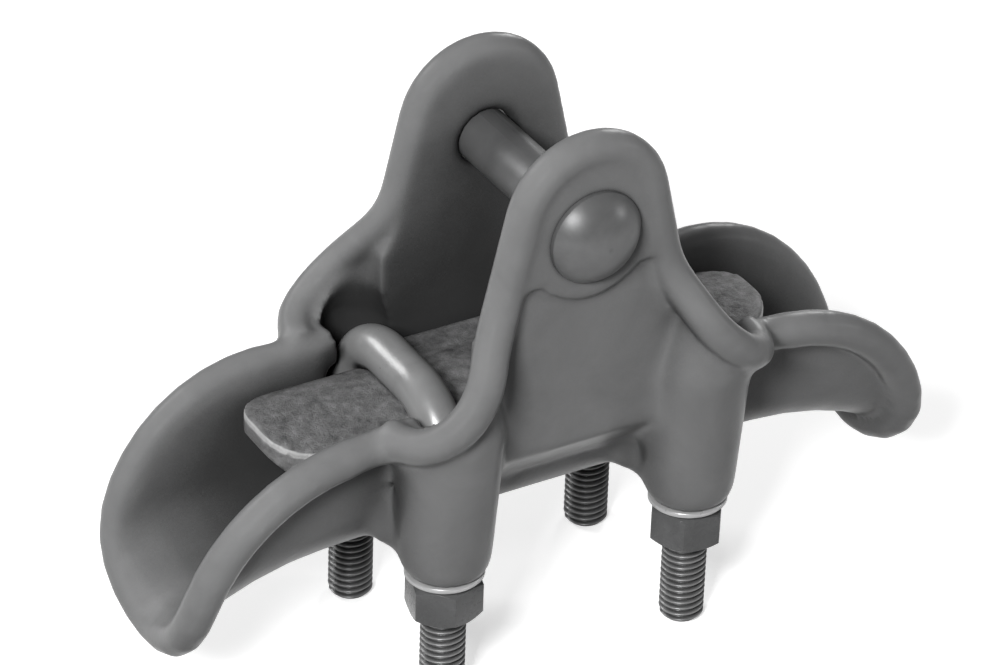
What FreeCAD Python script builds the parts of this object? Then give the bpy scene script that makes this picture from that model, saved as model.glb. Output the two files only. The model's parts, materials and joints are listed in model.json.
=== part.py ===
import FreeCAD, Part
import math
import os
from types import SimpleNamespace

import Sketcher
from FreeCAD import Placement, Rotation, Vector

# Overhead-line suspension clamp: a cast body with a trough for the conductor, two ears for a clevis pin,
# and a keeper that two U-bolts press down on the conductor.
# Frame: X along the conductor, Y along the clevis pin, Z up. The origin is on the plane that the four
# threaded ends stand on, under the middle of the clamp. Lengths are millimetres, angles degrees.

DIMENSIONS = {
    # U-bolts, nuts and lock washers
    "bolt_spacing": 77.0,
    "leg_spacing": 52.4,
    "thread_diameter": 12.7,
    "thread_length": 52.0,
    "thread_projection": 38.0,
    "point_chamfer": 1.4,
    "shank_diameter": 12.7,
    "bend_radius": 19.0,
    "nut_flats": 19.05,
    "nut_height": 11.1,
    "nut_chamfer": 1.2,
    "nut_gap": 0.05,
    "washer_outer": 22.1,
    "washer_bore": 13.2,
    "washer_height": 3.2,
    "washer_split": 1.4,
    # Trough and mouths of the body
    "seat_radius": 12.5,
    "seat_rise": 6.3,
    "wall_thickness": 4.5,
    "wall_draft": 13.0,
    "straight_length": 136.0,
    "rim_length": 130.0,
    "belly_arch": 2.5,
    "mouth_radius": 92.0,
    "mouth_splay": 7.3,
    "splay_start": 53.0,
    "rim_radius": 48.0,
    "rim_rise": 37.2,
    "bead_radius": 5.0,
    "bead_offset": 3.05,
    # Ears
    "ear_gap": 47.5,
    "ear_thickness": 9.0,
    "ear_radius": 24.3,
    "crown_rise": 4.8,
    "ear_taper": 13.0,
    "shoulder_drop": 12.0,
    "pad_radius": 19.0,
    "pad_drop": 12.0,
    "panel_recess": 2.5,
    "panel_rise": 24.5,
    "cavity_rise": 22.5,
    # Bosses, the wings above them and the pockets inside
    "boss_foot": 25.0,
    "boss_diameter": 29.2,
    "boss_bore": 14.3,
    "root_spread": 9.0,
    "root_rise": 7.2,
    "root_return": 20.0,
    "root_half_width": 18.0,
    "wing_rise": 67.0,
    "wing_low_rise": 39.8,
    "wing_radius": 16.6,
    "wing_cone": 15.0,
    "bead_inset": 1.2,
    "pocket_radius": 10.0,
    "pocket_throat": 7.3,
    "pocket_floor_rise": 10.5,
    "slot_half": 51.0,
    # Clevis pin and cotter pin
    "pin_rise": 90.5,
    "pin_diameter": 15.9,
    "pin_hole": 17.0,
    "head_diameter": 26.6,
    "head_height": 8.6,
    "head_edge": 1.4,
    "pin_end": 10.5,
    "pin_chamfer": 1.5,
    "cotter_wire": 1.9,
    "cotter_hole": 4.2,
    "cotter_gap": 4.4,
    "cotter_tip": 10.0,
    "cotter_eye": 3.3,
    # Keeper
    "keeper_length": 155.0,
    "keeper_offset": 5.0,
    "keeper_width": 32.4,
    "keeper_middle_length": 56.0,
    "keeper_middle_width": 44.4,
    "keeper_crown": 12.0,
    "keeper_camber": 3.0,
    "keeper_pad_drop": 1.5,
    "keeper_skirt": 4.5,
    "keeper_foot_width": 24.0,
    "keeper_edge": 3.2,
    "keeper_flare": 24.0,
    "keeper_corner": 13.0,
    "keeper_wing_height": 6.0,
    "saddle_depth": 1.8,
    "saddle_gap": 0.15,
}


class Size:
    """A length worked out from the sheet: its present value, and the formula that binds it to the cells."""

    def __init__(self, value, formula):
        self.value = value
        self.formula = formula

    def __float__(self):
        return self.value

    def joined(self, sign, other, value):
        other_text = other.formula if isinstance(other, Size) else repr(float(other))
        return Size(value, f"({self.formula} {sign} {other_text})")

    def __add__(self, other):
        return self.joined("+", other, self.value + float(other))

    def __sub__(self, other):
        return self.joined("-", other, self.value - float(other))

    def __mul__(self, other):
        return self.joined("*", other, self.value * float(other))

    def __truediv__(self, other):
        return self.joined("/", other, self.value / float(other))

    def __neg__(self):
        return Size(-self.value, f"(-1 * {self.formula})")


doc = FreeCAD.newDocument("suspension_clamp")
sheet = doc.addObject("Spreadsheet::Sheet", "Dimensions")
for row, (alias, value) in enumerate(DIMENSIONS.items(), 1):
    sheet.set(f"A{row}", alias)
    sheet.set(f"B{row}", str(value))
    sheet.setAlias(f"B{row}", alias)
doc.recompute()

# d holds each dimension with its formula, v its plain value
d = SimpleNamespace(**{a: Size(float(sheet.get(a)), f"Dimensions.{a}") for a in DIMENSIONS})
v = SimpleNamespace(**{a: float(sheet.get(a)) for a in DIMENSIONS})

# Heights above the floor plane, each from the one that it stands on
NUT_TOP = d.thread_projection
BOSS_FOOT = NUT_TOP + d.washer_height
SEAT = BOSS_FOOT + d.seat_rise
GROOVE = SEAT + d.seat_radius
PIN = SEAT + d.pin_rise
RIM = SEAT + d.rim_rise
KEEPER_TOP = GROOVE + d.seat_radius + d.keeper_crown
SADDLE = KEEPER_TOP - d.saddle_depth
BEND = SADDLE + d.shank_diameter / 2 - d.bend_radius

# Places in plan
LEG_X = d.bolt_spacing / 2
LEG_Y = d.leg_spacing / 2
EAR_INNER = d.ear_gap / 2
EAR_OUTER = EAR_INNER + d.ear_thickness

X_AXIS = Vector(1, 0, 0)
Y_AXIS = Vector(0, 1, 0)
Z_AXIS = Vector(0, 0, 1)
ORIGIN = Vector(0, 0, 0)
QUARTERS = [(side_x, side_y) for side_x in (-1, 1) for side_y in (-1, 1)]
ENDS = {-1: "left", 1: "right"}
SIDES = {-1: "near", 1: "far"}

parts = []


def place(item, x=None, y=None, z=None, turn=None):
    """Turn an object, and bind the place of its origin to the sheet."""
    item.Placement = Placement(Vector(0, 0, 0), turn or Rotation())
    for axis, length in (("x", x), ("y", y), ("z", z)):
        if length is not None:
            item.setExpression(f"Placement.Base.{axis}", length.formula)


def primitive(kind, name, sizes, angles=None, x=None, y=None, z=None, turn=None):
    """A Part primitive with its sizes and place bound to the sheet."""
    item = doc.addObject(f"Part::{kind}", name)
    for prop, length in sizes.items():
        item.setExpression(prop, length.formula)
    for prop, angle in (angles or {}).items():
        setattr(item, prop, angle)
    place(item, x, y, z, turn)
    return item


def fused(name, items):
    item = doc.addObject("Part::MultiFuse", name)
    item.Shapes = items
    item.Refine = True
    return item


def keep(item, label):
    """Name a finished piece and put it on the list of parts."""
    item.Label = label
    parts.append(item)
    return item


def new_body(label):
    return keep(doc.addObject("PartDesign::Body", label), label)


def sketch_on(body, role, name):
    """A sketch on one of the body's own origin planes."""
    plane = [f for f in body.Origin.OriginFeatures if f.Role == role][0]
    sketch = body.newObject("Sketcher::SketchObject", name)
    sketch.AttachmentSupport = [(plane, "")]
    sketch.MapMode = "FlatFace"
    return sketch


def pin_point(sketch, edge, end, x, y):
    """Hold one end of an edge at (x, y) from the sketch's origin, each bound to the sheet."""
    for kind, axis, length in (("DistanceX", -2, x), ("DistanceY", -1, y)):
        if length is None:
            sketch.addConstraint(Sketcher.Constraint("PointOnObject", edge, end, axis))
        else:
            index = sketch.addConstraint(Sketcher.Constraint(kind, -1, 1, edge, end, float(length)))
            sketch.setExpression(f"Constraints[{index}]", length.formula)


def outline(sketch, corners, arcs=None):
    """A closed outline through corners, each an (x, y) of sizes, where None is zero.
    arcs maps the number of an edge to a point that its arc passes at first; its centre is on the Y axis."""
    points = [Vector(float(x or 0), float(y or 0), 0) for x, y in corners]
    count = len(points)
    first = sketch.GeometryCount
    for i, start in enumerate(points):
        end = points[(i + 1) % count]
        if arcs and i in arcs:
            sketch.addGeometry(Part.Arc(start, arcs[i], end), False)
        else:
            sketch.addGeometry(Part.LineSegment(start, end), False)
    ends = []
    for i in range(count):
        curved = bool(arcs and i in arcs)
        edge = first + i
        backwards = curved and sketch.Geometry[edge].StartPoint.distanceToPoint(points[i]) > 1e-6
        ends.append((2, 1) if backwards else (1, 2))
        if curved:
            sketch.addConstraint(Sketcher.Constraint("PointOnObject", edge, 3, -2))
    for i in range(count):
        edge = first + i
        after = (i + 1) % count
        link = Sketcher.Constraint("Coincident", edge, ends[i][1], first + after, ends[after][0])
        sketch.addConstraint(link)
        pin_point(sketch, edge, ends[i][0], *corners[i])


def circle(sketch, radius, x=None, y=None):
    """A circle of bound radius, with its centre bound to (x, y)."""
    centre = Vector(float(x or 0), float(y or 0), 0)
    edge = sketch.addGeometry(Part.Circle(centre, Z_AXIS, float(radius)), False)
    index = sketch.addConstraint(Sketcher.Constraint("Radius", edge, float(radius)))
    sketch.setExpression(f"Constraints[{index}]", radius.formula)
    pin_point(sketch, edge, 3, x, y)


# U-bolts: a straight back and two quarter bends over two legs, each with a threaded end
def make_ubolt(side):
    name = f"ubolt_{ENDS[side]}"
    x = LEG_X * side
    shank = d.shank_diameter / 2
    thread = d.thread_diameter / 2
    corner = LEG_Y - d.bend_radius
    back = {"Radius": shank, "Height": corner * 2}
    bend = {"Radius1": d.bend_radius, "Radius2": shank}
    upright = {"Radius": shank, "Height": BEND - d.thread_length}
    threaded = {"Radius": thread, "Height": d.thread_length - d.point_chamfer}
    point = {"Radius1": thread - d.point_chamfer, "Radius2": thread, "Height": d.point_chamfer}
    top = {"x": x, "y": -corner, "z": BEND + d.bend_radius}
    pieces = [primitive("Cylinder", f"{name}_back", back, turn=Rotation(X_AXIS, -90), **top)]
    for leg in (-1, 1):
        tag = f"{name}_{SIDES[leg]}"
        foot = {"x": x, "y": LEG_Y * leg}
        turn = Rotation(Z_AXIS, 90 - 90 * leg) * Rotation(Vector(1, 1, 1), 120)
        pieces += [
            primitive("Torus", f"{tag}_bend", bend, {"Angle3": 90}, x=x, y=corner * leg, z=BEND, turn=turn),
            primitive("Cylinder", f"{tag}_shank", upright, z=d.thread_length, **foot),
            primitive("Cylinder", f"{tag}_thread", threaded, z=d.point_chamfer, **foot),
            primitive("Cone", f"{tag}_point", point, **foot),
        ]
    keep(fused(f"{name}_solid", pieces), name)


# Hex nuts: a hexagon with both ends turned to a chamfer, and a plain hole for the thread.
# Each nut has stopped at its own turn. The chamfer starts a little inside the flats
NUT_TURNS = {(-1, -1): -13, (-1, 1): 8, (1, -1): 25, (1, 1): 41}
CHAMFER_START = 0.48


def make_nut(side_x, side_y):
    body = new_body(f"nut_{ENDS[side_x]}_{SIDES[side_y]}")
    across_corners = d.nut_flats * (2 / math.sqrt(3))
    sketch = sketch_on(body, "XY_Plane", f"{body.Name}_hexagon")
    corners = []
    for i in range(6):
        turn = math.radians(60 * i + 30)
        corner_x = across_corners * round(math.cos(turn) / 2, 12)
        corner_y = across_corners * round(math.sin(turn) / 2, 12)
        corners.append((corner_x if abs(float(corner_x)) > 1e-6 else None, corner_y))
    outline(sketch, corners)
    pad = body.newObject("PartDesign::Pad", f"{body.Name}_pad")
    pad.Profile = sketch
    pad.setExpression("Length", d.nut_height.formula)
    doc.recompute()

    turned = sketch_on(body, "XZ_Plane", f"{body.Name}_corners")
    inner = d.nut_flats * CHAMFER_START
    corner = across_corners / 2
    outer = corner + 1
    drop = d.nut_chamfer * (outer - inner) / (corner - inner)
    outline(turned, [(inner, None), (outer, None), (outer, drop)])
    outline(turned, [(inner, d.nut_height), (outer, d.nut_height), (outer, d.nut_height - drop)])
    chamfer = body.newObject("PartDesign::Groove", f"{body.Name}_chamfers")
    chamfer.Profile = turned
    chamfer.ReferenceAxis = (turned, ["V_Axis"])
    chamfer.Angle = 360
    doc.recompute()

    bore = sketch_on(body, "XY_Plane", f"{body.Name}_bore")
    circle(bore, d.thread_diameter / 2 + d.nut_gap)
    pocket = body.newObject("PartDesign::Pocket", f"{body.Name}_hole")
    pocket.Profile = bore
    pocket.Type = "ThroughAll"
    pocket.Midplane = True
    body.Tip = pocket
    turn = Rotation(Z_AXIS, NUT_TURNS[side_x, side_y])
    place(body, LEG_X * side_x, LEG_Y * side_y, NUT_TOP - d.nut_height, turn)


# Lock washers: a ring with one slanted split, as a helical spring washer has when it is pressed flat
SPLIT_SLANT = 0.6


def make_washer(side_x, side_y):
    body = new_body(f"lock_washer_{ENDS[side_x]}_{SIDES[side_y]}")
    ring = sketch_on(body, "XY_Plane", f"{body.Name}_ring")
    circle(ring, d.washer_outer / 2)
    circle(ring, d.washer_bore / 2)
    pad = body.newObject("PartDesign::Pad", f"{body.Name}_pad")
    pad.Profile = ring
    pad.setExpression("Length", d.washer_height.formula)
    doc.recompute()

    split = sketch_on(body, "XZ_Plane", f"{body.Name}_split")
    slant = d.washer_height * SPLIT_SLANT
    outline(
        split,
        [
            (None, None),
            (d.washer_split, None),
            (d.washer_split + slant, d.washer_height),
            (slant, d.washer_height),
        ],
    )
    slot = body.newObject("PartDesign::Pocket", f"{body.Name}_slot")
    slot.Profile = split
    slot.Type = "Length"
    slot.setExpression("Length", d.washer_outer.formula)
    body.Tip = slot
    place(body, LEG_X * side_x, LEG_Y * side_y, NUT_TOP, Rotation(Z_AXIS, 90 + 180 * (side_x < 0)))


# Clevis pin: a shank turned with a domed head, and a cross hole near its end for the cotter pin.
# Its own frame has Z along the pin, from the top of the dome
PIN_HEAD_FACE = d.head_height
COTTER_PLACE = d.head_height + EAR_OUTER * 2 + d.cotter_gap
PIN_LENGTH = d.head_height + EAR_OUTER * 2 + d.pin_end


def make_pin():
    body = new_body("clevis_pin")
    turned = sketch_on(body, "XZ_Plane", "clevis_pin_profile")
    head = d.head_diameter / 2
    shank = d.pin_diameter / 2
    rim = PIN_HEAD_FACE - d.head_edge
    halfway = Vector(float(head) * 0.62, float(rim) * 0.2, 0)
    outline(
        turned,
        [
            (None, None),
            (head, rim),
            (head, PIN_HEAD_FACE),
            (shank, PIN_HEAD_FACE),
            (shank, PIN_LENGTH - d.pin_chamfer),
            (shank - d.pin_chamfer, PIN_LENGTH),
            (None, PIN_LENGTH),
        ],
        arcs={0: halfway},
    )
    solid = body.newObject("PartDesign::Revolution", "clevis_pin_solid")
    solid.Profile = turned
    solid.ReferenceAxis = (turned, ["V_Axis"])
    solid.Angle = 360
    doc.recompute()

    hole = sketch_on(body, "XZ_Plane", "clevis_pin_cross_hole")
    circle(hole, d.cotter_hole / 2, None, COTTER_PLACE)
    pocket = body.newObject("PartDesign::Pocket", "clevis_pin_hole")
    pocket.Profile = hole
    pocket.Type = "ThroughAll"
    pocket.Midplane = True
    body.Tip = pocket
    place(body, y=-(EAR_OUTER + PIN_HEAD_FACE), z=PIN, turn=Rotation(X_AXIS, -90))


# Cotter pin: a ring over two legs side by side through the pin, with their tips bent apart
COTTER_SPLAY = 55
COTTER_LEG_GAP = 0.06


def make_cotter():
    wire = d.cotter_wire / 2
    leg = wire + COTTER_LEG_GAP / 2
    foot = PIN - d.pin_diameter / 2 - d.cotter_wire
    eye_z = PIN + d.pin_diameter / 2 + d.cotter_wire + d.cotter_eye
    along_y = Rotation(X_AXIS, -90)
    middle = {"y": EAR_OUTER + d.cotter_gap}
    side_y = {"y": EAR_OUTER + d.cotter_gap - wire}
    outside = {"Radius": d.cotter_eye + wire, "Height": d.cotter_wire}
    inside = {"Radius": d.cotter_eye - wire, "Height": d.cotter_wire}
    disc = primitive("Cylinder", "cotter_eye_disc", outside, z=eye_z, turn=along_y, **side_y)
    hole = primitive("Cylinder", "cotter_eye_hole", inside, z=eye_z, turn=along_y, **side_y)
    eye = doc.addObject("Part::Cut", "cotter_eye")
    eye.Base = disc
    eye.Tool = hole
    pieces = [eye]
    for side in (-1, 1):
        tag = f"cotter_{ENDS[side]}"
        shank = {"Radius": wire, "Height": eye_z - d.cotter_eye - foot}
        knee = {"Radius": wire}
        tip = {"Radius": wire, "Height": d.cotter_tip}
        corner = {"x": leg * side, "z": foot}
        outward = Rotation(Y_AXIS, side * (180 - COTTER_SPLAY))
        pieces += [
            primitive("Cylinder", f"{tag}_leg", shank, **corner, **middle),
            primitive("Sphere", f"{tag}_knee", knee, **corner, **middle),
            primitive("Cylinder", f"{tag}_tip", tip, turn=outward, **corner, **middle),
        ]
    keep(fused("cotter_pin_solid", pieces), "cotter_pin")


def flat_face(points, plane):
    """A flat face through points given as pairs, in the XZ, YZ or XY plane."""
    to_space = {
        "XZ": lambda a, b: Vector(a, 0, b),
        "YZ": lambda a, b: Vector(0, a, b),
        "XY": lambda a, b: Vector(a, b, 0),
    }[plane]
    corners = [to_space(a, b) for a, b in points]
    return Part.Face(Part.makePolygon(corners + corners[:1]))


def prism(face, start, end, axis):
    """A face pushed from start to end along an axis that is square to it."""
    moved = face.copy()
    moved.translate(axis * start)
    return moved.extrude(axis * (end - start))


def mirrored(shape, axis):
    return shape.mirror(ORIGIN, axis)


def upright_edges(solid):
    return [e for e in solid.Edges if abs(e.tangentAt(e.FirstParameter).z) > 0.9]


def bolt_arch(x, radius):
    """The space that a U-bolt's back and bends take, as a tube of the given radius."""
    leg = float(LEG_Y)
    corner = leg - v.bend_radius
    low = float(BEND)
    top = low + v.bend_radius
    slant = v.bend_radius * math.sqrt(0.5)
    near = [Vector(x, -leg, low), Vector(x, -corner - slant, low + slant), Vector(x, -corner, top)]
    far = [mirrored(Part.Vertex(spot), Y_AXIS).Point for spot in near[::-1]]
    back = Part.makeLine(near[-1], far[0])
    path = Part.Wire([Part.Arc(*near).toShape(), back, Part.Arc(*far).toShape()])
    ring = Part.Wire(Part.Circle(near[0], Z_AXIS, radius).toShape())
    return path.makePipeShell([ring], True, False)


# Keeper: a cast bar with an inverted groove, two bell-mouthed tongues, a wider middle between the ears,
# and a saddle across it under each U-bolt
def make_keeper():
    top = float(KEEPER_TOP)
    edge = top - v.keeper_camber
    foot = top - v.keeper_crown - v.keeper_skirt
    left = -v.keeper_length / 2 - v.keeper_offset
    right = v.keeper_length / 2 - v.keeper_offset
    half = v.keeper_width / 2
    foot_half = v.keeper_foot_width / 2
    shelf = edge - v.keeper_wing_height

    shelf_half = half - v.keeper_wing_height * math.tan(math.radians(v.wall_draft))
    right_side = [(half, edge), (shelf_half, shelf), (foot_half, foot)]
    corners = right_side + [(-y, z) for y, z in right_side[::-1]]
    spots = [Vector(0, y, z) for y, z in corners]
    edges = [Part.makeLine(start, end) for start, end in zip(spots, spots[1:])]
    edges.append(Part.Arc(spots[-1], Vector(0, 0, top), spots[0]).toShape())
    section = Part.Face(Part.Wire(Part.__sortEdges__(edges)))
    bar = prism(section, left, right, X_AXIS)

    # The underside of each tongue rises to a thin edge along an arc
    lip = edge - v.keeper_edge
    rise = lip - foot
    bell = (v.keeper_flare ** 2 + rise ** 2) / (2 * rise)
    sweep = math.asin(v.keeper_flare / bell)

    def side_arc(end_x, side):
        start = Vector(end_x - side * v.keeper_flare, 0, foot)
        middle = start + Vector(side * bell * math.sin(sweep / 2), 0, bell * (1 - math.cos(sweep / 2)))
        return Part.Arc(start, middle, Vector(end_x, 0, lip)).toShape(), start

    right_arc, right_start = side_arc(right, 1)
    left_arc, left_start = side_arc(left, -1)
    side_edges = [
        Part.makeLine(left_start, right_start),
        right_arc,
        Part.makeLine(Vector(right, 0, lip), Vector(right, 0, top)),
        Part.makeLine(Vector(right, 0, top), Vector(left, 0, top)),
        Part.makeLine(Vector(left, 0, top), Vector(left, 0, lip)),
        left_arc,
    ]
    side = Part.Face(Part.Wire(Part.__sortEdges__(side_edges)))
    bar = bar.common(prism(side, -half * 2, half * 2, Y_AXIS))

    # Rounded corners in plan
    plan = flat_face([(left, -half), (right, -half), (right, half), (left, half)], "XY")
    plan_solid = prism(plan, foot - 1, top + 1, Z_AXIS)
    bar = bar.common(plan_solid.makeFillet(v.keeper_corner, upright_edges(plan_solid)))

    middle_half = v.keeper_middle_length / 2
    pad_half = v.keeper_middle_width / 2
    pad_top = top - v.keeper_pad_drop
    pad_spot = Vector(-middle_half, -pad_half, shelf)
    pad = Part.makeBox(2 * middle_half, 2 * pad_half, pad_top - shelf, pad_spot)
    solid = bar.fuse(pad.makeFillet(v.keeper_wing_height / 2, upright_edges(pad)))

    groove_spot = Vector(-v.keeper_length, 0, float(GROOVE))
    solid = solid.cut(Part.makeCylinder(v.seat_radius, 2 * v.keeper_length, groove_spot, X_AXIS))
    for side_x in (-1, 1):
        solid = solid.cut(bolt_arch(side_x * float(LEG_X), v.shank_diameter / 2 + v.saddle_gap))
    solid = max(solid.Solids, key=lambda s: s.Volume).removeSplitter()
    keeper = doc.addObject("Part::Feature", "keeper")
    keeper.Shape = solid
    keep(keeper, "keeper")


# Clamp body: the casting. Each function below gives one of its regions
seat = float(SEAT)
groove = float(GROOVE)
rim = float(RIM)
pin_z = float(PIN)
foot_z = float(BOSS_FOOT)
leg_x = float(LEG_X)
leg_y = float(LEG_Y)
ear_in = float(EAR_INNER)
ear_out = float(EAR_OUTER)
straight = v.straight_length / 2
rim_x = v.rim_length / 2
mouth_z = seat - v.mouth_radius
rim_centre_z = rim - v.rim_radius
draft = math.radians(v.wall_draft)
splay = math.tan(math.radians(v.mouth_splay))

# The beads: flats round each, degrees turned at a step, and how far one stands past the ear's inner face
BEAD_FLATS = 12
BEAD_STEP = 14
MOUTH_BEAD_STEPS = 32
WING_BEAD_STEPS = 14
BEAD_PROUD = 0.1
bead_y = ear_in + v.bead_radius - BEAD_PROUD

# Turns, in degrees, of the sections round a mouth, and of the points that a bead's line passes
MOUTH_TURNS = range(0, 43, 7)
RIM_TURNS = [90, 75, 60, 45, 32]
LIP_TURNS = range(75, 14, -15)
WING_TURNS = range(132, -9, -20)
BEAD_STARTS = [18, 9]
WING_SWEEP = 1.25

# The bosses: the rounding at the foot, and the heights of the cone's two ends under the wing's low point
BOSS_EDGE = 1.5
CONE_START = 13
CONE_END = 2

# Where the walls under the ears end inside the trough's wall, below the conductor's axis
WEB_DROP = 3

# Lengths that only have to reach past the casting, or into it where two regions join
BEYOND = 60
WIDE = 200
OVERLAP = 1


def channel_half_width(radius, above):
    """Half the width of a channel at a height above the conductor's axis: a circle, then leaning walls."""
    if above < -radius * math.sin(draft):
        return math.sqrt(max(radius ** 2 - above ** 2, 0))
    return radius * math.cos(draft) + (above + radius * math.sin(draft)) * math.tan(draft)


def channel(radius, top, spread=0):
    """Section across the trough: a round seat and walls that lean out, up to the height top.
    A spread makes the seat wider and leaves its lowest point where it is."""
    radius = radius + spread
    centre = groove + spread
    side = radius * math.cos(draft)
    low = centre - radius * math.sin(draft)
    wide = channel_half_width(radius, top - centre)
    arc = Part.Arc(Vector(0, -side, low), Vector(0, 0, centre - radius), Vector(0, side, low)).toShape()
    right = Part.makeLine(Vector(0, side, low), Vector(0, wide, top))
    lid = Part.makeLine(Vector(0, wide, top), Vector(0, -wide, top))
    left = Part.makeLine(Vector(0, -wide, top), Vector(0, -side, low))
    return Part.Face(Part.Wire([arc, right, lid, left]))


def spread_at(turn):
    """How much wider the seat is at a turn round the mouth: the splay runs on along the channel's axis."""
    return (straight - v.splay_start + (v.mouth_radius + v.seat_radius) * turn) * splay


def trough(radius, top):
    """The channel run straight through the middle. Each end widens, and turns down round its mouth."""
    middle = prism(channel(radius, top), -v.splay_start, v.splay_start, X_AXIS)
    start = channel(radius, top)
    start.translate(X_AXIS * v.splay_start)
    sections = [start]
    for turn in MOUTH_TURNS:
        section = channel(radius, top, spread_at(math.radians(turn)))
        section.translate(X_AXIS * straight)
        section.rotate(Vector(straight, 0, mouth_z), Y_AXIS, turn)
        sections.append(section)
    mouth = Part.makeLoft([section.OuterWire for section in sections], True, True)
    return middle.fuse([mouth, mirrored(mouth, X_AXIS)])


def steps_along(line):
    """Points along a line: the ends of its straight edges, and even steps on its curved ones."""
    spots = [line.OrderedVertexes[0].Point]
    for edge in line.OrderedEdges:
        straight_edge = edge.Curve.TypeId == "Part::GeomLine"
        turning = abs(edge.tangentAt(edge.FirstParameter).getAngle(edge.tangentAt(edge.LastParameter)))
        count = 1 if straight_edge else max(round(math.degrees(turning) / BEAD_STEP), WING_BEAD_STEPS)
        points = edge.discretize(count + 1)
        if points[0].distanceToPoint(spots[-1]) > points[-1].distanceToPoint(spots[-1]):
            points.reverse()
        spots += points[1:]
    return spots


def bead_along(spots):
    """A bead along short straight steps, mitred where they meet. Its section is round, with flats that
    lie as far inside the bead's radius as their corners lie outside it."""
    steps = [(b - a).normalize() for a, b in zip(spots, spots[1:])]
    across = steps[0].cross(Vector(0.3, 1, 0.2)).normalize()
    other = steps[0].cross(across).normalize()
    turns = [2 * math.pi * i / BEAD_FLATS for i in range(BEAD_FLATS)]
    radius = v.bead_radius / math.cos(math.pi / BEAD_FLATS) ** 0.5
    ring = [spots[0] + across * (radius * math.cos(t)) + other * (radius * math.sin(t)) for t in turns]
    faces = [Part.Face(Part.makePolygon(ring + ring[:1]))]
    for i, step in enumerate(steps):
        mitre = step + steps[i + 1] if i + 1 < len(steps) else step
        ahead = [p + step * ((spots[i + 1] - p).dot(mitre) / step.dot(mitre)) for p in ring]
        for k in range(BEAD_FLATS):
            after = (k + 1) % BEAD_FLATS
            flat = [ring[k], ring[after], ahead[after], ahead[k]]
            faces.append(Part.Face(Part.makePolygon(flat + flat[:1])))
        ring = ahead
    faces.append(Part.Face(Part.makePolygon(ring + ring[:1])))
    return Part.Solid(Part.Shell(faces))


def wall_point(x, z, radius, side):
    """The point of a channel's wall that is seen at (x, z) from the side."""
    if x > straight:
        above = math.hypot(x - straight, z - mouth_z) - v.mouth_radius - v.seat_radius
        spread = spread_at(math.atan2(x - straight, z - mouth_z))
    else:
        above = z - groove
        spread = max(x - v.splay_start, 0) * splay
    return Vector(x, side * channel_half_width(radius + spread, above - spread), z)


def rim_place(turn):
    """The place in side view at a turn round the rim's arc: 90 is its top, 0 level with its centre."""
    turn = math.radians(turn)
    return rim_x + v.rim_radius * math.cos(turn), rim_centre_z + v.rim_radius * math.sin(turn)


def lip_place(above):
    """The place in side view where the rim's arc meets a height above the channel's axis."""
    reach = v.mouth_radius + v.seat_radius + above
    across, rise = rim_x - straight, rim_centre_z - mouth_z
    apart = math.hypot(across, rise)
    share = (reach ** 2 - v.rim_radius ** 2 + apart ** 2) / (2 * apart)
    off = math.sqrt(max(reach ** 2 - share ** 2, 0))
    return straight + (across * share + rise * off) / apart, mouth_z + (rise * share - across * off) / apart


def mouth_bead():
    """The rolled rim round one mouth: down one wall, round the lip and up the other wall."""
    radius = v.seat_radius + v.wall_thickness / 2 + v.bead_offset
    lip_x, lip_z = lip_place(-radius)
    lip_radius = radius + spread_at(math.atan2(lip_x - straight, lip_z - mouth_z))
    places = [(rim_x - back, rim) for back in BEAD_STARTS]
    places += [rim_place(turn) for turn in RIM_TURNS]
    for turn in LIP_TURNS:
        above = lip_radius * (1 - math.cos(math.radians(turn))) - radius
        places.append(lip_place(above))
    far = [wall_point(x, z, radius, 1) for x, z in places]
    near = [wall_point(x, z, radius, -1) for x, z in places[::-1]]
    line = Part.BSplineCurve()
    line.interpolate(Points=far + [Vector(lip_x, 0, lip_z)] + near)
    return bead_along(line.toShape().discretize(Number=MOUTH_BEAD_STEPS + 1))


def wing_point(turn):
    """The bead's centre round a boss: turn is 180 towards the clamp's middle, 90 outward, 0 at the mouth."""
    turn = math.radians(turn)
    low = seat + v.wing_low_rise
    share = ((1 - math.cos(turn)) / 2) ** WING_SWEEP
    z = low + (v.wing_rise - v.wing_low_rise) * share
    radius = v.wing_radius - (z - low) * math.tan(math.radians(v.wing_cone))
    return Vector(leg_x + radius * math.cos(turn), leg_y + radius * math.sin(turn), z)


def ear_line(depth):
    """The bead's centre line over one ear and round its two bosses. A depth of 0 gives its side view."""

    def seen(point):
        return Vector(point.x, point.y * depth, point.z)

    crown = v.ear_radius - v.bead_radius
    crown_z = pin_z + v.crown_rise
    taper = math.radians(v.ear_taper)
    crown_end = Vector(crown * math.cos(taper), bead_y, crown_z + crown * math.sin(taper))
    down = Vector(math.sin(taper), 0, -math.cos(taper))
    shoulder = crown_end + down * ((crown_end.z - pin_z + v.shoulder_drop) / math.cos(taper))
    inward = Vector(-0.3, -1, 0)
    spots = [seen(p) for p in [shoulder] + [wing_point(turn) for turn in WING_TURNS]]
    wing = Part.BSplineCurve()
    wing.interpolate(Points=spots, InitialTangent=down, FinalTangent=seen(inward))
    side = Part.makeLine(seen(crown_end), spots[0])
    left_end = Vector(-crown_end.x, crown_end.y, crown_end.z)
    top = Part.Arc(seen(left_end), seen(Vector(0, bead_y, crown_z + crown)), seen(crown_end)).toShape()
    right = [side, wing.toShape()]
    return Part.Wire(Part.__sortEdges__(right + [top] + [mirrored(edge, X_AXIS) for edge in right]))


def silhouette():
    """A face in the XZ plane under the bead's centre line, down to the floor plane."""
    spots = steps_along(ear_line(0))
    first, last = spots[0], spots[-1]
    return Part.Face(Part.makePolygon(spots + [Vector(last.x, 0, 0), Vector(first.x, 0, 0), first]))


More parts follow.
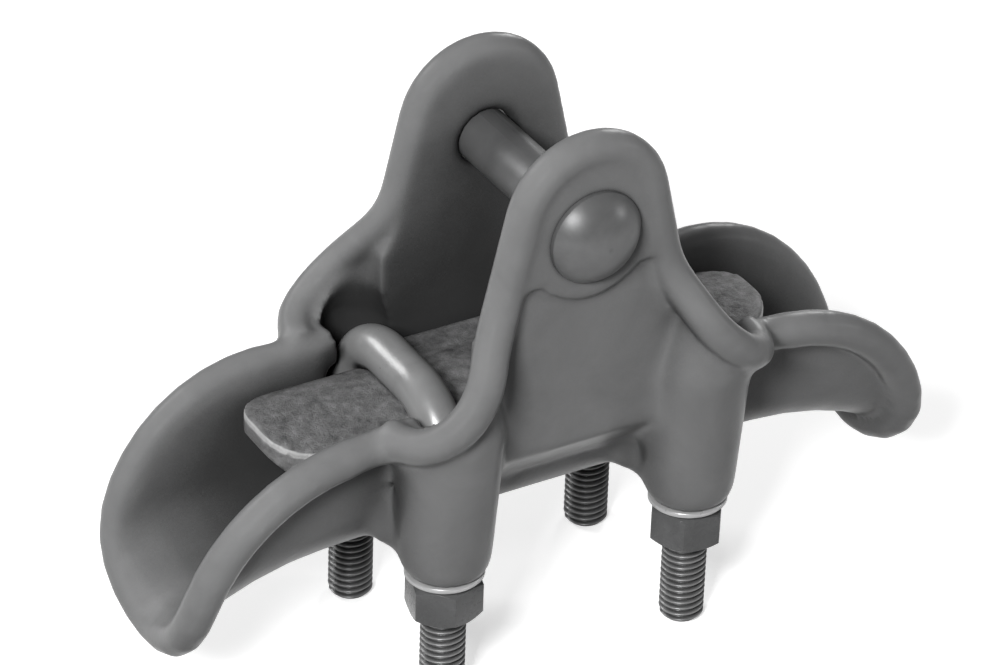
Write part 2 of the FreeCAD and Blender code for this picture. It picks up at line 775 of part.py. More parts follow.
def boss_column(profile, x, y):
    """A solid of revolution about a leg's axis, from (radius, height) pairs."""
    points = [(0, profile[0][1])] + profile + [(0, profile[-1][1])]
    solid = flat_face(points, "XZ").revolve(ORIGIN, Z_AXIS, 360)
    solid.translate(Vector(x, y, 0))
    return solid


def boss(x, y):
    """A boss on its foot, and the narrowing wing above it that joins the ear."""
    low = seat + v.wing_low_rise
    high = seat + v.wing_rise + 10
    foot = v.boss_foot / 2
    wing = v.wing_radius - v.bead_inset
    profile = [
        (foot - BOSS_EDGE, foot_z),
        (foot, foot_z + BOSS_EDGE),
        (v.boss_diameter / 2, low - CONE_START),
        (wing, low - CONE_END),
        (wing - (high - low) * math.tan(math.radians(v.wing_cone)), high),
    ]
    return boss_column(profile, x, y)


def root(x, y):
    """The boss's root: the belly sweeps down to the boss's foot, and a web joins it to the trough's wall."""
    foot = v.boss_foot / 2
    low = foot_z + BOSS_EDGE
    middle = low + v.root_rise
    cones = boss_column([(foot, low), (foot + v.root_spread, middle), (foot, middle + v.root_return)], x, y)
    reach = v.root_half_width
    return cones.common(Part.makeBox(4 * leg_x, 2 * reach, pin_z, Vector(-2 * leg_x, -reach, 0)))


def pocket(x, y):
    """The well for a U-bolt's leg, open above, with the bolt's bore through the boss below."""
    low = seat + v.wing_low_rise
    throat_z = low + (v.pocket_radius - v.pocket_throat) / math.tan(math.radians(v.wing_cone))
    well = boss_column(
        [
            (v.pocket_radius, seat + v.pocket_floor_rise),
            (v.pocket_radius, low),
            (v.pocket_throat, throat_z),
            (v.pocket_throat, pin_z + BEYOND),
        ],
        x,
        y,
    )
    bore = Part.makeCylinder(v.boss_bore / 2, low - foot_z, Vector(x, y, foot_z - OVERLAP))
    return well.fuse(bore)


def superstructure():
    """Ears, pads, the walls between the bosses, and the bosses, cut off along the beads."""
    panel = ear_out - v.panel_recess
    panel_z = seat + v.panel_rise
    hull = v.seat_radius + v.wall_thickness
    web_z = groove - WEB_DROP
    section = flat_face(
        [
            (-panel, pin_z + BEYOND),
            (-panel, panel_z),
            (-hull + OVERLAP, web_z),
            (hull - OVERLAP, web_z),
            (panel, panel_z),
            (panel, pin_z + BEYOND),
        ],
        "YZ",
    )
    block = prism(section, -leg_x, leg_x, X_AXIS)
    pad_top = Part.makeBox(WIDE, 2 * ear_out, WIDE, Vector(-WIDE / 2, -ear_out, pin_z - v.pad_drop))
    pad_round = Part.makeCylinder(v.pad_radius, 2 * ear_out, Vector(0, -ear_out, pin_z), Y_AXIS)
    spots = [(leg_x * side_x, leg_y * side_y) for side_x, side_y in QUARTERS]
    bosses = [boss(x, y) for x, y in spots]
    roots = [root(x, y) for x, y in spots]
    solid = block.fuse([pad_top, pad_round] + bosses + roots)
    solid = solid.common(prism(silhouette(), -3 * leg_y, 3 * leg_y, Y_AXIS))
    bead = bead_along(steps_along(ear_line(1)))
    return solid, [bead, mirrored(bead, Y_AXIS)]


def make_clamp_body():
    hull = trough(v.seat_radius + v.wall_thickness, rim)
    side_spot = Vector(-rim_x, -WIDE / 2, rim_centre_z - v.rim_radius)
    side = Part.makeBox(2 * rim_x, WIDE, 2 * v.rim_radius, side_spot)
    for end in (-1, 1):
        spot = Vector(end * rim_x, -WIDE / 2, rim_centre_z)
        side = side.fuse(Part.makeCylinder(v.rim_radius, WIDE, spot, Y_AXIS))
    arch = leg_x ** 2 / (2 * v.belly_arch)
    arch_spot = Vector(0, -WIDE / 2, seat - v.wall_thickness + v.belly_arch - arch)
    hull = hull.common(side).cut(Part.makeCylinder(arch, WIDE, arch_spot, Y_AXIS))
    upper, beads = superstructure()
    rolled = mouth_bead()

    shelf = seat + v.cavity_rise
    low = 2 * OVERLAP
    low_half = channel_half_width(v.seat_radius, low)
    cavity = flat_face(
        [
            (-ear_in, pin_z + 2 * BEYOND),
            (-ear_in, shelf),
            (-low_half, groove + low),
            (low_half, groove + low),
            (ear_in, shelf),
            (ear_in, pin_z + 2 * BEYOND),
        ],
        "YZ",
    )
    solid = hull.fuse(upper)
    solid = solid.cut(trough(v.seat_radius, rim + v.bead_radius))
    solid = solid.cut(prism(cavity, -v.slot_half, v.slot_half, X_AXIS))
    for side_x, side_y in QUARTERS:
        solid = solid.cut(pocket(leg_x * side_x, leg_y * side_y))
    for bead in beads + [rolled, mirrored(rolled, X_AXIS)]:
        solid = solid.fuse(bead)
    solid = solid.cut(Part.makeCylinder(v.pin_hole / 2, 4 * ear_out, Vector(0, -2 * ear_out, pin_z), Y_AXIS))
    body = doc.addObject("Part::Feature", "clamp_body")
    body.Shape = max(solid.Solids, key=lambda s: s.Volume)
    keep(body, "clamp_body")


for side in (-1, 1):
    make_ubolt(side)
for side_x, side_y in QUARTERS:
    make_nut(side_x, side_y)
    make_washer(side_x, side_y)
make_pin()
make_cotter()
make_keeper()
make_clamp_body()
doc.recompute()

for item in doc.Objects:
    bad = [state for state in item.State if state in ("Invalid", "Error")]
    if bad:
        raise RuntimeError(f"{item.Name} failed: {bad}")
for item in parts:
    if item.Shape.isNull() or not item.Shape.isValid():
        raise RuntimeError(f"{item.Label} has no valid shape")

os.makedirs("parts", exist_ok=True)
for item in parts:
    item.Shape.exportStep(os.path.join("parts", f"{item.Label}.step"))
    box = item.Shape.BoundBox
    spans = [f"{length:.1f}" for length in (box.XLength, box.YLength, box.ZLength)]
    print(item.Label, f"volume {item.Shape.Volume:.0f}, solids {len(item.Shape.Solids)}, box", *spans)
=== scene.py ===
import json
import math

import bmesh
import bpy
import numpy as np
from mathutils import Matrix, Vector

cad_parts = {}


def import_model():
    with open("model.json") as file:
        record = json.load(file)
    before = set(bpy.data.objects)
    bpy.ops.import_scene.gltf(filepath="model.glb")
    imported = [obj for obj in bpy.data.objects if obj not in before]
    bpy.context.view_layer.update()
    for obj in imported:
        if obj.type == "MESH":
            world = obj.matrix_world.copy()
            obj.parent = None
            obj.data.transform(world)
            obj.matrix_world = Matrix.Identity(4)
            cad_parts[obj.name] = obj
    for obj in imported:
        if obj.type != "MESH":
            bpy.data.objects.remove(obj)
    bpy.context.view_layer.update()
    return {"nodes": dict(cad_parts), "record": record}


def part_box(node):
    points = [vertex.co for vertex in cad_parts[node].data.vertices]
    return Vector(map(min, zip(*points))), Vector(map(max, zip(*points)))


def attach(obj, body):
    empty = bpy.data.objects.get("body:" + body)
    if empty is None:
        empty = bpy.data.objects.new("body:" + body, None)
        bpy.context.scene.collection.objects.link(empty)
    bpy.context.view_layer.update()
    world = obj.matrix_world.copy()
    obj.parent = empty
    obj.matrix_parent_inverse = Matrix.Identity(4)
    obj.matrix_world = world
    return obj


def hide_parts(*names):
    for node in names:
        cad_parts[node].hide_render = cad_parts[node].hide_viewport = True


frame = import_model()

MM = 0.001

# Sizes of the U-bolts, as in the part's source, in millimetres
LEG_X = 38.5
LEG_Y = 26.2
BEND_RADIUS = 19.0
BEND_Z = 70.05
SHANK_RADIUS = 6.35
THREAD_LENGTH = 52.0
THREAD_PITCH = 25.4 / 13
POINT_CHAMFER = 1.4
ENDS = (("left", -LEG_X), ("right", LEG_X))
SIDES = (("near", -LEG_Y), ("far", LEG_Y))

# The thread's profile in shares of the pitch: its depth, half its crest, and the width of a flank
THREAD_DEPTH = 0.613
CREST_HALF = 0.0625
FLANK = 0.3125

# In millimetres: the length over which the thread runs out, and how much thinner a bar is drawn
THREAD_RUN_OUT = 3.5
BAR_ALLOWANCE = 0.02

# How finely a U-bolt is drawn: rings to a turn of thread, on a plain shank and on each bend, and sides
THREAD_RINGS = 12
SHANK_RINGS = 8
BEND_RINGS = 26
BAR_SIDES = 40

# The height on the leg that every ring of the bends is given, far past the thread's end
PAST_THREAD = 999.0

# The lock washers: bore, thickness and chamfer in millimetres
WASHER_BORE = 13.2
WASHER_THICKNESS = 1.6
WASHER_CHAMFER = 0.3

# The width and the direction of a washer's split in radians, and the steps round the ring
WASHER_SPLIT = 0.2
WASHER_OPENING = -0.55
WASHER_STEPS = 72

# The castings, in millimetres: the grid that each is drawn on, and how far its skin is swelled
BODY_GRID = 1.15
BODY_SWELL = 0.15
KEEPER_GRID = 0.7
KEEPER_SWELL = 0.05

# Rounds of smoothing, and the share of its way that a point goes in each
SMOOTH_SHARE = 0.5
BODY_ROUNDS = 5
KEEPER_ROUNDS = 2
SOFT_ROUNDS = 45
POLISH_ROUNDS = 2
CREASE_SHARE = 0.6
CREASE_ROUNDS = 90

# The body's fillets, in millimetres: beside the beads, and how much wider at the roots of the bosses
BEAD_FILLET = 1.6
ROOT_FILLET_EXTRA = 5.4

# Where the wide fillets end, from the middle along X and in height, and the width of each change
ROOT_REACH = (74, 12)
ROOT_TOP = (74, 14)

# Where the body is rounded off, and the width of each change: the distances from a bolt's middle at
# which it begins and ends, the distance from the middle along Y, and the height
SOFT_FROM_BORE = (10.5, 1.5)
SOFT_TO_BELLY = (30, 4)
SOFT_OUTSIDE = (11, 3)
SOFT_TOP = (92, 10)

# Angles in degrees: past the first an edge is rounded, and past the others it is shaded as an edge
ROUNDED_ANGLE = 28
TURNED_SHARP_ANGLE = 32
WASHER_SHARP_ANGLE = 50
THREAD_SHARP_ANGLE = 60

# Where a ramp over a noise starts and ends, and over the share of open sky in a hollow, which sets the
# painted shade there; and how many samples measure that share
NOISE_STOPS = (0.3, 0.7)
PATCH_STOPS = (0.3, 0.72)
KEEPER_STOPS = (0.32, 0.66)
PAINTED_SHADE_STOPS = (0.45, 0.88)
PAINTED_SHADE_SAMPLES = 8

# How much finer the patches in a metal's roughness are than those in its colour
WEAR_FINENESS = 3.1

# The keeper's skin: the colours of its top, the grey levels of the painted highlight on its side faces, how
# metallic and how rough it is, and the scales of its patches and its grain
KEEPER_TOP = ((0.085, 0.085, 0.086), (0.235, 0.235, 0.237))
KEEPER_PAINTED_LIGHT = (0.40, 0.58)
KEEPER_METALLIC = 0.3
KEEPER_ROUGHNESS = 0.55
KEEPER_PATCH = 260
KEEPER_GRAIN = 620

# The share of the painted highlight on the side faces, by how far a face of the keeper looks up
KEEPER_PAINTED_LIGHT_SHARES = [(0.0, 0.0), (0.02, 1.0), (0.45, 1.0), (0.72, 0.0)]

# The floor: half its side in metres, its grey levels where it is seen and where it throws light up,
# the scale of its noise, its roughness and its glow
FLOOR_HALF = 6.0
FLOOR_PALE = (0.88, 0.90)
FLOOR_DIM = (0.11, 0.13)
FLOOR_CLOUD = 2.0
FLOOR_ROUGHNESS = 0.9
FLOOR_GLOW = 0.50

WORLD_GREY = 0.9
WORLD_STRENGTH = 0.09

# The camera as it was fitted to the photograph: degrees, millimetres, and its lens in picture widths
CAMERA_AZIMUTH = -30.99605
CAMERA_ELEVATION = 32.62674
CAMERA_ROLL = 2.03768
CAMERA_DISTANCE = 1342.62973
CAMERA_RIGHT = -5.34875
CAMERA_UP = 43.17751
CAMERA_AIM_Z = 38.0
CAMERA_LENS = 4.849881
SENSOR_WIDTH = 36.0

# How near and how far the camera sees, in metres
NEAR_CLIP = 0.05
FAR_CLIP = 50

BODY_OF = {}
for body, nodes in frame["record"]["behaviour"]["bodies"].items():
    for node in nodes:
        BODY_OF[node] = body


# Materials
def new_material(name):
    """An empty material, with its node tree and its shader."""
    material = bpy.data.materials.new(name)
    material.use_nodes = True
    tree = material.node_tree
    return material, tree, tree.nodes["Principled BSDF"]


def add_node(tree, kind, values=None, **settings):
    """A node with its settings made and some of its inputs filled."""
    node = tree.nodes.new(kind)
    for key, value in settings.items():
        setattr(node, key, value)
    for key, value in (values or {}).items():
        node.inputs[key].default_value = value
    return node


def noise(tree, scale, detail, roughness=0.55, distortion=0.0):
    """A noise in the piece's own coordinates."""
    coords = add_node(tree, "ShaderNodeTexCoord")
    texture = add_node(tree, "ShaderNodeTexNoise",
                       {"Scale": scale, "Detail": detail, "Roughness": roughness, "Distortion": distortion})
    tree.links.new(coords.outputs["Object"], texture.inputs["Vector"])
    return texture.outputs["Fac"]


def ramp(tree, source, stops):
    """A colour ramp over a source. The value of a stop is a colour or one grey level."""
    node = add_node(tree, "ShaderNodeValToRGB")
    elements = node.color_ramp.elements
    while len(elements) < len(stops):
        elements.new(0.5)
    for element, (position, value) in zip(elements, stops):
        element.position = position
        colour = value if isinstance(value, tuple) else (value, value, value)
        element.color = (*colour, 1.0)
    tree.links.new(source, node.inputs["Fac"])
    return node.outputs["Color"]


def tones(tree, source, pair, stops=NOISE_STOPS):
    """The change from the first to the second of a pair of colours or grey levels, over a source."""
    return ramp(tree, source, list(zip(stops, pair)))


def mixed(tree, first, second, factor=None, blend="MIX"):
    """Two colours mixed by a factor from the tree, or in full where none is given."""
    mix = add_node(tree, "ShaderNodeMix", {"Factor": 1.0}, data_type="RGBA", blend_type=blend)
    if factor is not None:
        tree.links.new(factor, mix.inputs["Factor"])
    tree.links.new(first, mix.inputs["A"])
    tree.links.new(second, mix.inputs["B"])
    return mix.outputs["Result"]


def add_relief(tree, shader, height, strength, distance):
    """Lets a height raise the surface, by up to a distance in metres."""
    relief = add_node(tree, "ShaderNodeBump", {"Strength": strength, "Distance": distance})
    tree.links.new(height, relief.inputs["Height"])
    tree.links.new(relief.outputs["Normal"], shader.inputs["Normal"])


def zinc(level):
    """The faintly blue grey of a zinc coat."""
    return (level, level + 0.001, level + 0.002)


def with_painted_shade(tree, colour, reach, deepest):
    """Painted shade: a colour that goes down to a share, deepest, where surfaces stand closer together than
    reach.
    """
    open_share = add_node(tree, "ShaderNodeAmbientOcclusion", {"Distance": reach})
    open_share.samples = PAINTED_SHADE_SAMPLES
    shade = tones(tree, open_share.outputs["AO"], (deepest, 1.0), PAINTED_SHADE_STOPS)
    return mixed(tree, colour, shade, blend="MULTIPLY")


def metal(name, dark, light, metallic, roughness, patch, grain, relief, gloss=0.5, painted_recess_shade=None):
    """A zinc-coated metal: soft patches in colour, finer patches in roughness, and a grain in relief.

    roughness is its least and its most. patch and grain are scales. relief is a strength and a height
    in metres. recess is a reach in metres, and the share of the colour left deep within it, a painted shade
    where surfaces stand close together.
    """
    material, tree, shader = new_material(name)
    shader.inputs["Metallic"].default_value = metallic
    shader.inputs["Specular IOR Level"].default_value = gloss
    shader.inputs["Specular Tint"].default_value = (gloss, gloss, gloss, 1)
    patches = noise(tree, patch, detail=5.0, roughness=0.6, distortion=0.4)
    colour = tones(tree, patches, (dark, light), PATCH_STOPS)
    # Painted shade: the colour is darkened where surfaces stand close together
    if painted_recess_shade:
        colour = with_painted_shade(tree, colour, *painted_recess_shade)
    tree.links.new(colour, shader.inputs["Base Color"])
    wear = noise(tree, patch * WEAR_FINENESS, detail=6.0, roughness=0.65)
    tree.links.new(tones(tree, wear, roughness), shader.inputs["Roughness"])
    add_relief(tree, shader, noise(tree, grain, detail=6.0, roughness=0.6), *relief)
    return material


def keeper_metal():
    """The keeper: a dark, rough top as it was cast, and side faces painted lighter as a painted highlight.
    """
    material, tree, shader = new_material("rough_zinc")
    shader.inputs["Metallic"].default_value = KEEPER_METALLIC
    patches = noise(tree, KEEPER_PATCH, detail=6.0, roughness=0.65, distortion=0.3)
    top = tones(tree, patches, KEEPER_TOP, KEEPER_STOPS)
    # The side faces are painted lighter than the top: a painted highlight where the light falls on them
    edge = tones(tree, patches, KEEPER_PAINTED_LIGHT)
    coords = add_node(tree, "ShaderNodeTexCoord")
    split = add_node(tree, "ShaderNodeSeparateXYZ")
    tree.links.new(coords.outputs["Normal"], split.inputs["Vector"])
    painted_light_share = ramp(tree, split.outputs["Z"], KEEPER_PAINTED_LIGHT_SHARES)
    tree.links.new(mixed(tree, top, edge, painted_light_share), shader.inputs["Base Color"])
    shader.inputs["Roughness"].default_value = KEEPER_ROUGHNESS
    grain = noise(tree, KEEPER_GRAIN, detail=8.0, roughness=0.7)
    add_relief(tree, shader, grain, strength=0.7, distance=0.0009)
    return material


# The casting and the U-bolts carry painted shade: their colour darkens in the hollows and in the thread's
# grooves
MATERIALS = {
    "casting": metal("cast_zinc", zinc(0.175), zinc(0.216), metallic=0.0, roughness=(0.29, 0.36),
                     patch=45, grain=800, relief=(0.12, 0.0004), gloss=0.13, painted_recess_shade=(0.060, 0.18)),
    "keeper": keeper_metal(),
    "ubolt": metal("bolt_zinc", zinc(0.230), zinc(0.290), metallic=0.25, roughness=(0.27, 0.36),
                   patch=90, grain=1500, relief=(0.08, 0.0002), painted_recess_shade=(0.0030, 0.10)),
    "nut": metal("nut_zinc", zinc(0.080), zinc(0.115), metallic=0.05, roughness=(0.24, 0.32),
                 patch=120, grain=1500, relief=(0.06, 0.0002), gloss=0.4),
    "washer": metal("washer_zinc", zinc(0.420), zinc(0.500), metallic=0.30, roughness=(0.26, 0.36),
                    patch=120, grain=1500, relief=(0.08, 0.0002)),
    "pin": metal("pin_zinc", zinc(0.120), zinc(0.165), metallic=0.30, roughness=(0.36, 0.44),
                 patch=70, grain=1300, relief=(0.06, 0.0002), gloss=0.4),
    "cotter": metal("cotter_steel", (0.330, 0.330, 0.325), (0.420, 0.420, 0.415), metallic=0.90,
                    roughness=(0.20, 0.30), patch=200, grain=2000, relief=(0.05, 0.0001)),
}


# Pieces
def new_object(name, mesh):
    """An object that shows a mesh, in the scene."""
    piece = bpy.data.objects.new(name, mesh)
    bpy.context.scene.collection.objects.link(piece)
    return piece


def node_mesh(node, name, weld=0.001):
    """A copy of a solid's mesh in the row frame, with the corners that lie within weld joined again."""
    source = frame["nodes"][node]
    mesh = source.data.copy()
    mesh.name = name
    mesh.transform(source.matrix_world)
    work = bmesh.new()
    work.from_mesh(mesh)
    bmesh.ops.remove_doubles(work, verts=work.verts, dist=weld * MM)
    work.to_mesh(mesh)
    work.free()
    mesh.materials.clear()
    return mesh


def apply_modifiers(piece):
    """Gives a piece the mesh that its modifiers make, and takes the modifiers off."""
    graph = bpy.context.evaluated_depsgraph_get()
    mesh = bpy.data.meshes.new_from_object(piece.evaluated_get(graph), depsgraph=graph)
    piece.modifiers.clear()
    piece.data = mesh


def dress(piece, node, slot):
    """Gives a piece its material, and lets it stand for a solid on that solid's body."""
    piece.data.materials.clear()
    piece.data.materials.append(MATERIALS[slot])
    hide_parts(node)
    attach(piece, BODY_OF[node])


def beyond(distance, start, width):
    """0 up to start, and 1 from start and width on. start and width are in millimetres."""
    return np.clip((distance - start * MM) / (width * MM), 0, 1)


def within(distance, end, width):
    """1 up to width before end, and 0 from end on. end and width are in millimetres."""
    return np.clip((end * MM - distance) / (width * MM), 0, 1)


def body_fillet(places):
    """Wide fillets where the bosses stand on the belly, and narrow ones beside the beads."""
    root = within(np.abs(places[:, 0]), *ROOT_REACH) * within(places[:, 2], *ROOT_TOP)
    return (BEAD_FILLET + ROOT_FILLET_EXTRA * root) * MM


def body_softness(places):
    """How far the mould rounds the casting: fully on the outside of the bosses and of their roots."""
    x, y, z = places.T
    from_bolt = np.hypot(np.abs(x) - LEG_X * MM, np.abs(y) - LEG_Y * MM)
    near_bolt = beyond(from_bolt, *SOFT_FROM_BORE) * within(from_bolt, *SOFT_TO_BELLY)
    return near_bolt * beyond(np.abs(y), *SOFT_OUTSIDE) * within(z, *SOFT_TOP)


def fill_creases(mesh, grid, fillet):
    """Raises the inner corners of a casting until none is sharper than the fillet of its mould.

    grid is the mesh's spacing in metres. fillet gives the fillet's radius for an array of places.
    """
    count = len(mesh.vertices)
    points = np.empty(count * 3)
    normals = np.empty(count * 3)
    pairs = np.empty(len(mesh.edges) * 2, dtype=np.int32)
    mesh.vertices.foreach_get("co", points)
    mesh.edges.foreach_get("vertices", pairs)
    points = points.reshape(-1, 3)
    first, second = pairs.reshape(-1, 2).T
    neighbours = np.bincount(pairs, minlength=count)
    # How far a point of a grid this fine lies below its neighbours in a hollow of the fillet's radius
    allowed = grid * grid / (4 * fillet(points))
    for _ in range(CREASE_ROUNDS):
        mesh.vertices.foreach_get("normal", normals)
        outward = normals.reshape(-1, 3)
        sums = [np.bincount(first, points[second, axis], count)
                + np.bincount(second, points[first, axis], count) for axis in range(3)]
        pull = np.stack(sums, 1) / neighbours[:, None] - points
        rise = np.clip((pull * outward).sum(1) - allowed, 0, None)
        points += CREASE_SHARE * rise[:, None] * outward
        mesh.vertices.foreach_set("co", points.ravel())
        mesh.update()


def add_smooth(piece, name, rounds, group=""):
    """A smoothing modifier, by the weights of a vertex group where one is named."""
    smooth = piece.modifiers.new(name, "SMOOTH")
    smooth.factor = SMOOTH_SHARE
    smooth.iterations = rounds
    smooth.vertex_group = group


def add_weights(piece, name, weight_of):
    """A vertex group with the weights that a function gives for the places of the corners."""
    places = np.empty(len(piece.data.vertices) * 3)
    piece.data.vertices.foreach_get("co", places)
    group = piece.vertex_groups.new(name=name)
    for index, weight in enumerate(weight_of(places.reshape(-1, 3))):
        if weight > 0:
            group.add([index], float(weight), "REPLACE")


def cast_copy(node, name, slot, grid, rounds, swell, fillet=None, softness=None):
    """A cast piece with the soft edges and fillets that a sand mould leaves.

    grid and swell are in millimetres. fillet and softness are functions of the place.
    """
    piece = new_object(name, node_mesh(node, name))
    remesh = piece.modifiers.new("voxels", "REMESH")
    remesh.mode = "VOXEL"
    remesh.voxel_size = grid * MM
    remesh.use_smooth_shade = True
    add_smooth(piece, "soften", rounds)
    apply_modifiers(piece)
    if fillet:
        fill_creases(piece.data, grid * MM, fillet)
    if softness:
        add_weights(piece, "soft", softness)
        add_smooth(piece, "round_off", SOFT_ROUNDS, "soft")
    add_smooth(piece, "polish", POLISH_ROUNDS)
    push = piece.modifiers.new("swell", "DISPLACE")
    push.strength = swell * MM
    push.mid_level = 0.0
    apply_modifiers(piece)
    piece.data.shade_smooth()
    dress(piece, node, slot)


def turned_copy(node, name, slot, edge, segments=2, weld=0.001):
    """A machined or forged piece: its own solid with small rounded edges. Sizes are in millimetres."""
    piece = new_object(name, node_mesh(node, name, weld))
    bevel = piece.modifiers.new("edges", "BEVEL")
    bevel.width = edge * MM
    bevel.segments = segments
    bevel.limit_method = "ANGLE"
    bevel.angle_limit = math.radians(ROUNDED_ANGLE)
    apply_modifiers(piece)
    piece.data.shade_smooth()
    piece.data.set_sharp_from_angle(angle=math.radians(TURNED_SHARP_ANGLE))
    dress(piece, node, slot)


def tube(name, centres, tangents, across, radii, sides):
    """A tube along a path that lies in a plane square to across, with a radius for each ring and side."""
    turns = np.arange(sides) / sides * 2 * math.pi
    side_axis = np.cross(tangents, across)
    ring = (np.cos(turns)[None, :, None] * across[None, None, :]
            + np.sin(turns)[None, :, None] * side_axis[:, None, :])
    points = centres[:, None, :] + radii[:, :, None] * ring
    caps = np.stack([centres[0], centres[-1]])
    verts = np.concatenate([points.reshape(-1, 3), caps])
    last_ring = (len(centres) - 1) * sides
    faces = []
    for low in range(0, last_ring, sides):
        high = low + sides
        for k in range(sides):
            after = (k + 1) % sides
            faces.append((low + k, low + after, high + after, high + k))
    first_cap = last_ring + sides
    for k in range(sides):
        after = (k + 1) % sides
        faces.append((first_cap, after, k))
        faces.append((first_cap + 1, last_ring + k, last_ring + after))
    mesh = bpy.data.meshes.new(name)
    mesh.from_pydata((verts * MM).tolist(), [], faces)
    mesh.update()
    mesh.shade_smooth()
    return mesh


def ubolt_path():
    """The y and z of a U-bolt's rings, the y and z of their directions, and their heights on the leg."""
    step = THREAD_PITCH / THREAD_RINGS
    threaded = np.arange(0, THREAD_LENGTH + step, step)
    plain = np.linspace(THREAD_LENGTH + 2 * step, BEND_Z, SHANK_RINGS)
    leg = np.concatenate([threaded, plain])
    turns = np.linspace(0, math.pi / 2, BEND_RINGS)
    corner = LEG_Y - BEND_RADIUS
    rows = [(-LEG_Y, z, 0.0, 1.0, z) for z in leg]
    for turn in turns[1:]:
        sine, cosine = math.sin(turn), math.cos(turn)
        rows.append((-corner - BEND_RADIUS * cosine, BEND_Z + BEND_RADIUS * sine, sine, cosine, PAST_THREAD))
    for turn in turns:
        sine, cosine = math.sin(turn), math.cos(turn)
        rows.append((corner + BEND_RADIUS * sine, BEND_Z + BEND_RADIUS * cosine, cosine, -sine, PAST_THREAD))
    rows += [(LEG_Y, z, 0.0, -1.0, z) for z in leg[::-1][1:]]
    return np.array(rows).T


def ubolt(end, x):
    """A U-bolt with a rolled right-hand thread on each leg."""
    y, z, along_y, along_z, height = ubolt_path()
    centres = np.stack([np.full(len(y), x), y, z], 1)
    tangents = np.stack([np.zeros(len(y)), along_y, along_z], 1)
    angle = np.arange(BAR_SIDES) / BAR_SIDES
    # Height along the path's own direction, so that both legs get a right-hand thread
    along = np.where(along_z < 0, -height, height)
    phase = (along[:, None] / THREAD_PITCH - angle[None, :]) % 1.0
    from_crest = np.abs((phase + 0.5) % 1.0 - 0.5)
    depth = THREAD_DEPTH * THREAD_PITCH * np.clip((from_crest - CREST_HALF) / FLANK, 0, 1)
    fade = np.clip((THREAD_LENGTH - height) / THREAD_RUN_OUT, 0, 1)[:, None]
    chamfered = SHANK_RADIUS - POINT_CHAMFER + height[:, None]
    radii = np.minimum(SHANK_RADIUS - BAR_ALLOWANCE - depth * fade, chamfered)
    name = f"threaded_ubolt_{end}"
    piece = new_object(name, tube(name, centres, tangents, np.array([1.0, 0, 0]), radii, BAR_SIDES))
    piece.data.set_sharp_from_angle(angle=math.radians(THREAD_SHARP_ANGLE))
    dress(piece, f"ubolt_{end}", "ubolt")


def spring_washer(end, side, x, y):
    """A spring washer pressed almost flat: a split ring that climbs by what its thickness leaves free."""
    low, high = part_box(f"lock_washer_{end}_{side}")
    bottom, height = low[2] / MM, (high[2] - low[2]) / MM
    inner, outer = WASHER_BORE / 2, (high[0] - low[0]) / MM / 2
    climb = height - WASHER_THICKNESS
    span = 2 * math.pi - WASHER_SPLIT
    start = WASHER_OPENING + WASHER_SPLIT / 2
    section = [(inner, 0), (outer - WASHER_CHAMFER, 0), (outer, WASHER_CHAMFER),
               (outer, WASHER_THICKNESS - WASHER_CHAMFER), (outer - WASHER_CHAMFER, WASHER_THICKNESS),
               (inner, WASHER_THICKNESS)]
    verts = []
    for i in range(WASHER_STEPS + 1):
        turn = start + span * i / WASHER_STEPS
        rise = bottom + climb * i / WASHER_STEPS
        across, along = math.cos(turn), math.sin(turn)
        verts += [((x + r * across) * MM, (y + r * along) * MM, (rise + up) * MM) for r, up in section]
    sides = len(section)
    faces = [tuple(range(sides)), tuple(WASHER_STEPS * sides + k for k in reversed(range(sides)))]
    for i in range(WASHER_STEPS):
        for k in range(sides):
            after = (k + 1) % sides
            faces.append((i * sides + k, (i + 1) * sides + k, (i + 1) * sides + after, i * sides + after))
    mesh = bpy.data.meshes.new(f"split_washer_{end}_{side}")
    mesh.from_pydata(verts, [], faces)
    mesh.shade_smooth()
    piece = new_object(mesh.name, mesh)
    mesh.set_sharp_from_angle(angle=math.radians(WASHER_SHARP_ANGLE))
    dress(piece, f"lock_washer_{end}_{side}", "washer")


cast_copy("clamp_body", "cast_body", "casting", grid=BODY_GRID, rounds=BODY_ROUNDS, swell=BODY_SWELL,
          fillet=body_fillet, softness=body_softness)
cast_copy("keeper", "cast_keeper", "keeper", grid=KEEPER_GRID, rounds=KEEPER_ROUNDS, swell=KEEPER_SWELL)
for end, x in ENDS:
    ubolt(end, x)
for end, x in ENDS:
    for side, y in SIDES:
        turned_copy(f"nut_{end}_{side}", f"hex_nut_{end}_{side}", "nut", edge=0.45)
        spring_washer(end, side, x, y)
turned_copy("clevis_pin", "domed_pin", "pin", edge=0.5, segments=3, weld=0.15)
turned_copy("cotter_pin", "split_pin", "cotter", edge=0.15)


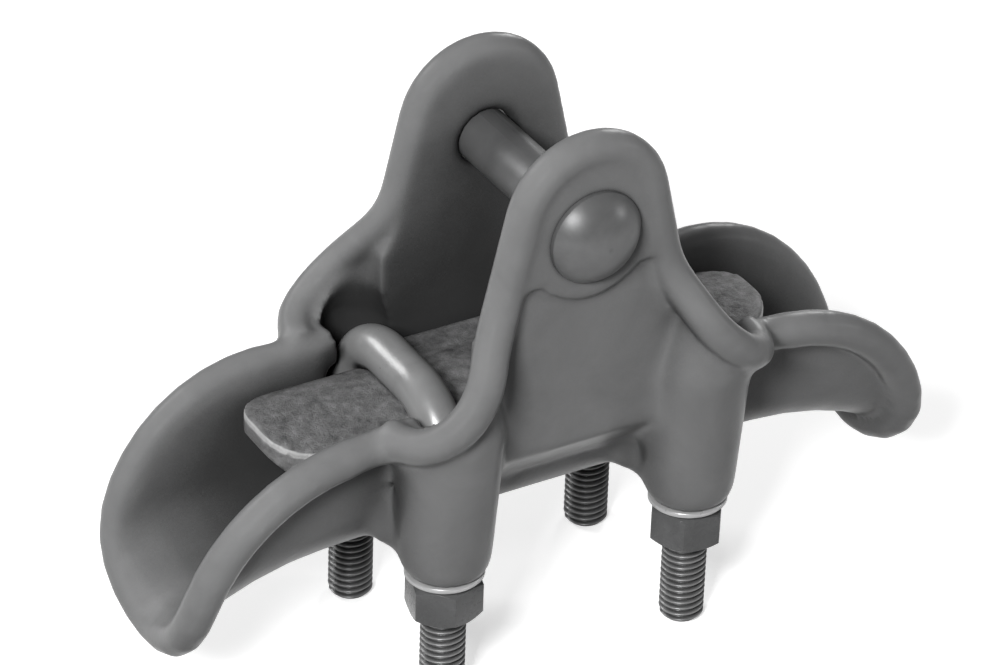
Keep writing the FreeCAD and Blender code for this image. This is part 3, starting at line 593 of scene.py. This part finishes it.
# Floor, camera and light
def floor():
    """A white floor: pale where it is seen, straight or in a reflection, and dimmer as a source of light."""
    half = FLOOR_HALF
    corners = [(-half, -half, 0), (half, -half, 0), (half, half, 0), (-half, half, 0)]
    mesh = bpy.data.meshes.new("floor")
    mesh.from_pydata(corners, [], [(0, 1, 2, 3)])
    piece = new_object("floor", mesh)
    material, tree, shader = new_material("pale_floor")
    cloud = noise(tree, FLOOR_CLOUD, detail=2.0)
    pale = tones(tree, cloud, FLOOR_PALE)
    dim = tones(tree, cloud, FLOOR_DIM)
    path = add_node(tree, "ShaderNodeLightPath")
    seen = add_node(tree, "ShaderNodeMath", operation="ADD", use_clamp=True)
    shown = add_node(tree, "ShaderNodeMath", operation="ADD", use_clamp=True)
    tree.links.new(path.outputs["Is Camera Ray"], seen.inputs[0])
    tree.links.new(path.outputs["Is Glossy Ray"], seen.inputs[1])
    tree.links.new(seen.outputs["Value"], shown.inputs[0])
    tree.links.new(path.outputs["Is Transmission Ray"], shown.inputs[1])
    tree.links.new(mixed(tree, dim, pale, shown.outputs["Value"]), shader.inputs["Base Color"])
    shader.inputs["Roughness"].default_value = FLOOR_ROUGHNESS
    shader.inputs["Emission Color"].default_value = (1, 1, 1, 1)
    glow = add_node(tree, "ShaderNodeMath", {1: FLOOR_GLOW}, operation="MULTIPLY")
    tree.links.new(shown.outputs["Value"], glow.inputs[0])
    tree.links.new(glow.outputs["Value"], shader.inputs["Emission Strength"])
    mesh.materials.append(material)


def camera():
    """A camera where the photograph's camera stood."""
    azimuth = math.radians(CAMERA_AZIMUTH)
    elevation = math.radians(CAMERA_ELEVATION)
    roll = math.radians(CAMERA_ROLL)
    aim = Vector((0, 0, CAMERA_AIM_Z))
    back = Vector((math.sin(azimuth) * math.cos(elevation), -math.cos(azimuth) * math.cos(elevation),
                   math.sin(elevation)))
    level = (-back).cross(Vector((0, 0, 1))).normalized()
    up = level.cross(-back)
    right = math.cos(roll) * level + math.sin(roll) * up
    top = -math.sin(roll) * level + math.cos(roll) * up
    place = (aim + back * CAMERA_DISTANCE + right * CAMERA_RIGHT + top * CAMERA_UP) * MM
    data = bpy.data.cameras.new("camera")
    data.sensor_width = SENSOR_WIDTH
    data.lens = CAMERA_LENS * SENSOR_WIDTH
    data.clip_start = NEAR_CLIP
    data.clip_end = FAR_CLIP
    view = bpy.data.objects.new("camera", data)
    bpy.context.scene.collection.objects.link(view)
    turn = Matrix((right, top, back)).transposed().to_4x4()
    view.matrix_world = Matrix.Translation(place) @ turn
    bpy.context.scene.camera = view


def area(name, place, target, size, power):
    """A square lamp that looks at a target, in metres and watts."""
    data = bpy.data.lights.new(name, "AREA")
    data.shape = "SQUARE"
    data.size = size
    data.energy = power
    lamp = bpy.data.objects.new(name, data)
    bpy.context.scene.collection.objects.link(lamp)
    lamp.location = place
    lamp.rotation_euler = (Vector(target) - Vector(place)).to_track_quat("-Z", "Y").to_euler()


def world():
    """A faint, even light from all sides."""
    scene_world = bpy.data.worlds.new("studio")
    bpy.context.scene.world = scene_world
    scene_world.use_nodes = True
    background = scene_world.node_tree.nodes["Background"]
    background.inputs["Color"].default_value = (WORLD_GREY, WORLD_GREY, WORLD_GREY, 1)
    background.inputs["Strength"].default_value = WORLD_STRENGTH


floor()
camera()
world()
area("key", place=(-0.78, -0.71, 0.86), target=(0, 0, 0.08), size=0.30, power=18.5)
area("back_left", place=(-0.62, 1.03, 0.80), target=(0, 0, 0.12), size=0.5, power=8)
area("rim", place=(0.95, 0.85, 0.55), target=(0, 0, 0.1), size=0.3, power=5)
area("right", place=(1.15, -0.55, 0.50), target=(0, 0, 0.06), size=0.12, power=2.2)
bpy.context.scene.view_settings.view_transform = "Standard"
